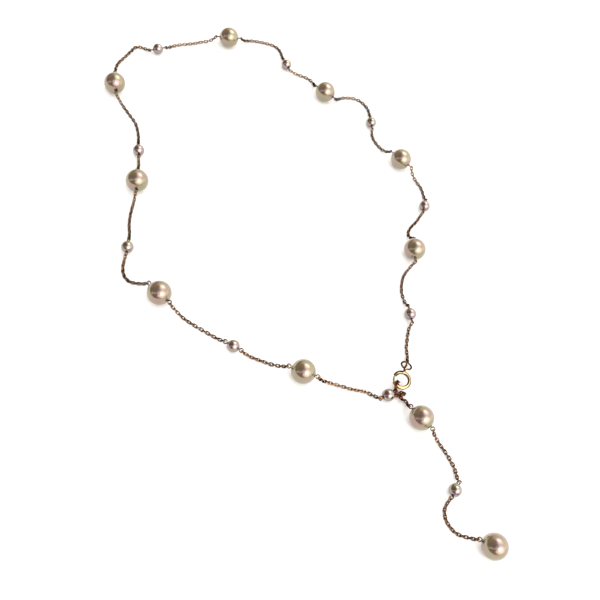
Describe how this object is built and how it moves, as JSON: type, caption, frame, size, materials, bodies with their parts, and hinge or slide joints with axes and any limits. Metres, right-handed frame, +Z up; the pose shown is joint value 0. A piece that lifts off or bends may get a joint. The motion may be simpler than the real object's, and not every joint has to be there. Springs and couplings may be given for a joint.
{
  "type": "lariat necklace",
  "caption": "Fine cable chain with large and small pearls on eyed pins, clipped into a loop round the neck by a bolt ring, with the rest hanging as a drop.",
  "frame": {"origin": "centre of the bounding box on the floor, z = 0 at the surface it lies on", "axes": "+X to the wearer's left, +Y from the end of the drop to the nape, +Z up from the surface it lies on"},
  "size_m": [0.1162, 0.2181, 0.0075],
  "materials": {
    "clasp_gold": "polished yellow gold plate",
    "rose_gold": "polished rose gold plate",
    "cream_pearl": "cream pearl lustre",
    "silvery_pearl": "silvery pink pearl lustre"
  },
  "bodies": {
    "necklace": {"bolt_ring": "clasp_gold", "jump_ring": "rose_gold", "chain_loop": "rose_gold", "chain_drop": "rose_gold", "large_pearl_1": "cream_pearl", "large_pearl_2": "cream_pearl", "large_pearl_3": "cream_pearl", "large_pearl_4": "cream_pearl", "large_pearl_5": "cream_pearl", "large_pearl_6": "cream_pearl", "large_pearl_7": "cream_pearl", "large_pearl_8": "cream_pearl", "large_pearl_9": "cream_pearl", "large_pearl_10": "cream_pearl", "small_pearl_1": "silvery_pearl", "small_pearl_2": "silvery_pearl", "small_pearl_3": "silvery_pearl", "small_pearl_4": "silvery_pearl", "small_pearl_5": "silvery_pearl", "small_pearl_6": "silvery_pearl", "small_pearl_7": "silvery_pearl", "small_pearl_8": "silvery_pearl", "small_pearl_9": "silvery_pearl", "small_pearl_10": "silvery_pearl", "large_pin_1": "rose_gold", "large_pin_2": "rose_gold", "large_pin_3": "rose_gold", "large_pin_4": "rose_gold", "large_pin_5": "rose_gold", "large_pin_6": "rose_gold", "large_pin_7": "rose_gold", "large_pin_8": "rose_gold", "large_pin_9": "rose_gold", "large_pin_10": "rose_gold", "small_pin_1": "rose_gold", "small_pin_2": "rose_gold", "small_pin_3": "rose_gold", "small_pin_4": "rose_gold", "small_pin_5": "rose_gold", "small_pin_6": "rose_gold", "small_pin_7": "rose_gold", "small_pin_8": "rose_gold", "small_pin_9": "rose_gold", "small_pin_10": "rose_gold"},
    "bolt": {"bolt": "clasp_gold"}
  },
  "joints": [
    {"name": "bolt_slide", "type": "hinge", "parent": "necklace", "child": "bolt", "pos_m": [0.0053, -0.0515, 0.00245], "axis": [0.1249, 0.1206, -0.9848], "range_deg": [0, 50], "stiffness_Nm_per_rad": 0.0005}
  ]
}
